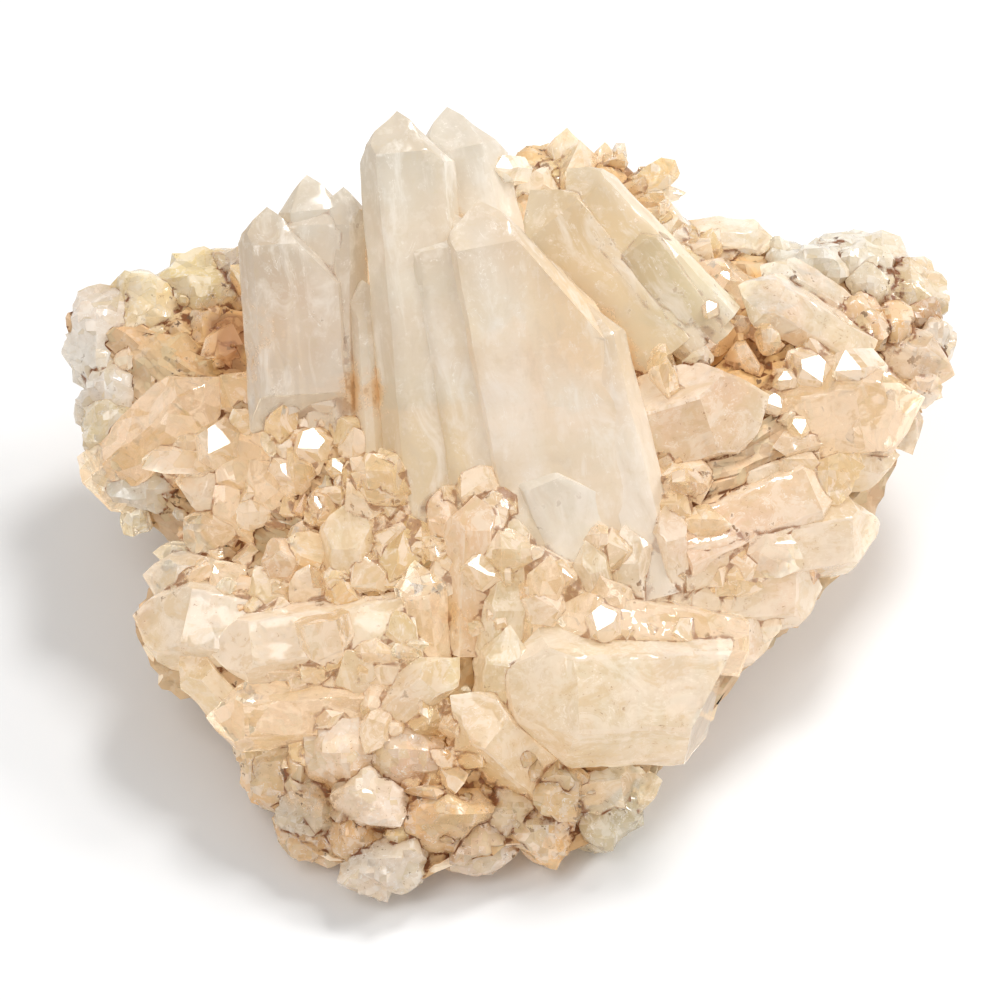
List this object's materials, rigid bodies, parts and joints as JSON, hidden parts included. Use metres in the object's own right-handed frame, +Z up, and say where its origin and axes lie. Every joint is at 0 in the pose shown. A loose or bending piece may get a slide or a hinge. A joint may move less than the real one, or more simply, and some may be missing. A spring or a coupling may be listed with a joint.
{
  "type": "quartz crystal cluster",
  "caption": "Natural quartz cluster: tall fused blades over shorter points that lie outwards on a rough stained bed; stands level on its flat underside as a display piece.",
  "frame": {"origin": "middle of the flat place on the underside that the cluster rests on", "axes": "+Z up from the rest; +Y towards the side that the tall blades lean to, away from the viewer; +X to the viewer's right"},
  "size_m": [0.1859, 0.1572, 0.1042],
  "materials": {
    "quartz": "milky translucent crystal faces, glossy, with dull iron-stained seams and broken surfaces"
  },
  "bodies": {
    "root": {"quartz_cluster": "quartz"}
  },
  "joints": []
}
